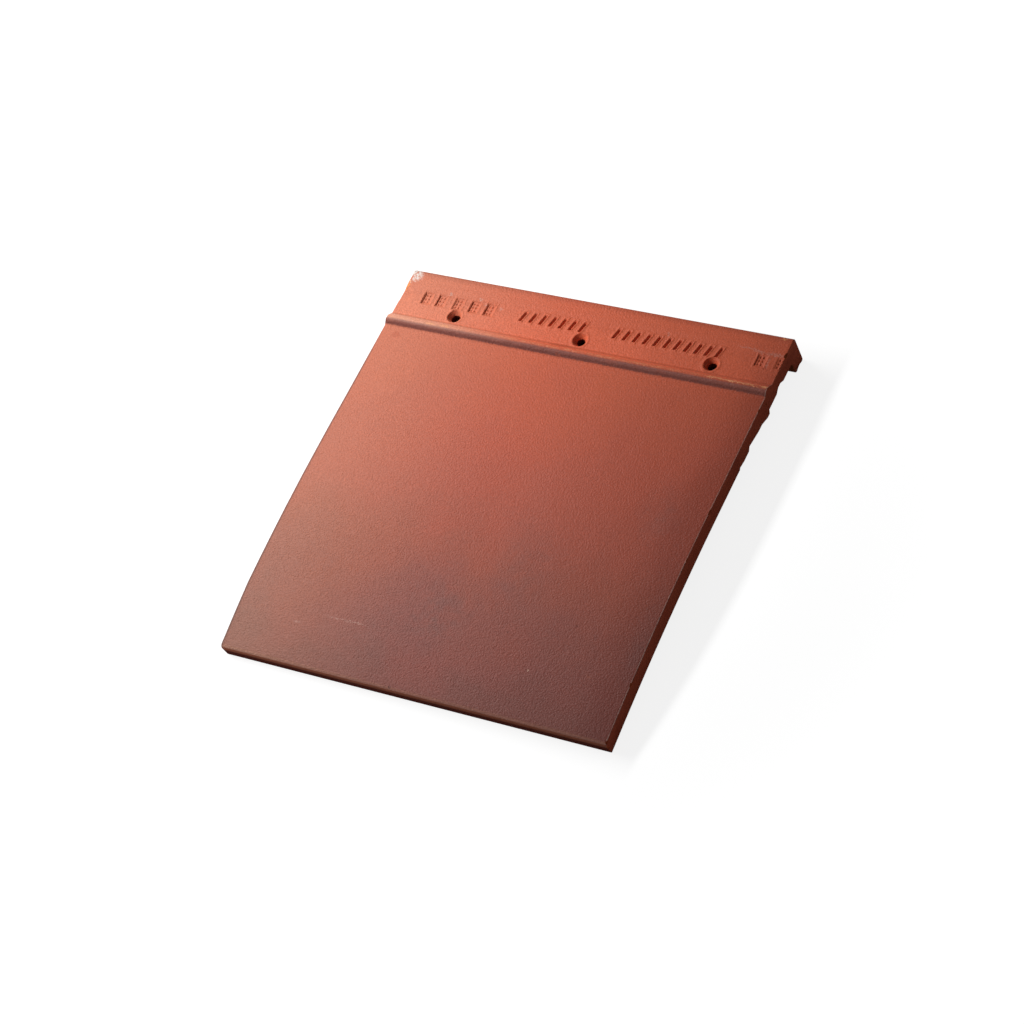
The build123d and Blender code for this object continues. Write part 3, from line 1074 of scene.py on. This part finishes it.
# %% [markdown]
# ## Grain of the slip
#
# The peel is the strongest thing that a raking light finds on the face: bumps about a millimetre
# apart and a tenth or two of one high. They are higher at the tail, where two coats lie, and at
# the left, where most slip lies. The grain shows in the colour as well, because grit in the slip
# fires lighter and darker.

# %% Slip: finish
PEEL_HEIGHT = (50, 140, 0.36, 0.28)  # mm from the tail, from where to where, and how high there
PEEL_SIDES = (120, -90, 0.9, 1.5)  # mm across from where to where, then what it multiplies by
PEEL_SHADE = (0.95, 1.05)  # what the colour is multiplied by, in its dips and on its bumps
SAND_SHADE = (0.88, 1.12)
GRAIN_LIFT = (60, -60, 1.0, 1.05)  # makes up for light that is lost between the higher bumps
SAND_HEIGHT = 0.10
SLIP_ROUGHNESS = 0.44
SLIP_GLOSS = 0.13  # the clay is porous, so it mirrors only a quarter of what glass would

speckle = times(ease(peel, 0.3, 0.7, *PEEL_SHADE), ease(sand, 0.25, 0.75, *SAND_SHADE))
speckle = times(speckle, ease(part[0], *GRAIN_LIFT))
coloured = add_node(tree, "VectorMath", {0: coloured, "Scale": speckle}, operation="SCALE")
begins, ends, *heights = PEEL_HEIGHT
peel_height = ease(part[1], tail + begins, tail + ends, *(h * MM for h in heights))
peel_height = times(peel_height, ease(part[0], *PEEL_SIDES))
bumps = add_node(tree, "Bump", {"Height": peel, "Distance": peel_height, "Strength": 1.0})
bumps = add_node(tree, "Bump", {"Height": sand, "Distance": SAND_HEIGHT * MM, "Strength": 1.0,
                                "Normal": bumps})
finish_clay(coloured, SLIP_ROUGHNESS, SLIP_GLOSS, bumps)

# %% [markdown]
# ## Bare clay
#
# The other surfaces are the same clay with little or no slip, each as its tool left it. They share
# one recipe: a body colour, blotches of a second colour, a grain and a height for it. Bare clay is
# full of pores, so it is rougher than the slip and has hardly any gloss. Three of them carry painted
# light and shade in their colours: the tail's end is painted dark for the shade that it lies in,
# the wire-cut sides are painted lighter for fill light on the shaded side, and the shanks of the
# nail holes are painted dark for the shade deep inside them. Only the tail's end adds to the
# recipe: a lighter colour towards its upper arris, which is painted light.

# %% The bare surfaces
BARE_GLOSS = 0.03
BLOTCH_SIZE = 18  # mm from one blotch to the next
BLOTCH_SHARE = (0.1, 0.45)  # of the noise, where a blotch begins and is full
TAIL_END_PAINTED_LIGHT = (4.8, 8.6)  # mm above the ground, where the painted light on the tail's end begins and is full
TAIL_END_PAINTED_LIGHT_COLOUR = srgb("AA654E")
BARE = {  # body, blotch, grain in mm across, along and up, height in mm, roughness
    # painted shade: the tail's upright end is painted dark for the shade that it lies in
    "misted_clay": ("541C12", "481810", (1.6, 1.6, 1.6), 0.08, 0.85),
    # painted light: the wire-cut sides are painted lighter than their clay, for fill light on the shaded
    # side
    "wire_cut_clay": ("C45E44", "AA4C38", (2.0, 14.0, 0.7), 0.06, 0.9),
    "pressed_clay": ("B4623F", "A04E34", (2.5, 2.5, 2.5), 0.10, 0.85),
    # painted shade: the shanks of the nail holes are painted dark for the shade deep inside them
    "punched_clay": ("5E2B20", "4C2218", (1.2, 1.2, 3.0), 0.10, 0.9),
    "broken_clay": ("C4613A", "A84C2E", (0.7, 0.7, 0.7), 0.20, 0.9),
}
for name, (body, blotch, grain, high, roughness) in BARE.items():
    tree = clays[name][1]
    here = add_node(tree, "TexCoord").outputs["Object"]
    in_mm = add_node(tree, "VectorMath", {0: here, "Scale": 1 / MM}, operation="SCALE")
    fine = noise_of(1, detail=3.0, stretch=grain)
    mixed = times(fine, noise_of(BLOTCH_SIZE, detail=3.0))
    colour = blend(ease(mixed, *BLOTCH_SHARE, how="LINEAR"), srgb(body), srgb(blotch))
    # Painted light: the tail's end is lighter towards its top
    if name == "misted_clay":
        up = add_node(tree, "SeparateXYZ", {0: in_mm}).outputs[2]
        colour = blend(ease(up, *TAIL_END_PAINTED_LIGHT), colour, TAIL_END_PAINTED_LIGHT_COLOUR)
    bumps = add_node(tree, "Bump", {"Height": fine, "Distance": high * MM, "Strength": 1.0})
    finish_clay(colour, roughness, BARE_GLOSS, bumps)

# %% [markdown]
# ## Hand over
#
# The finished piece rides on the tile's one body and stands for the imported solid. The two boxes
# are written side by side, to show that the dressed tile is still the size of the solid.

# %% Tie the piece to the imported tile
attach(tile, "root")
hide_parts("roof_tile")

dressed_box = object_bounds()
for name, box in (("packed", cad_box), ("dressed", dressed_box)):
    print(name, [[round(c / MM, 2) for c in corner] for corner in box])
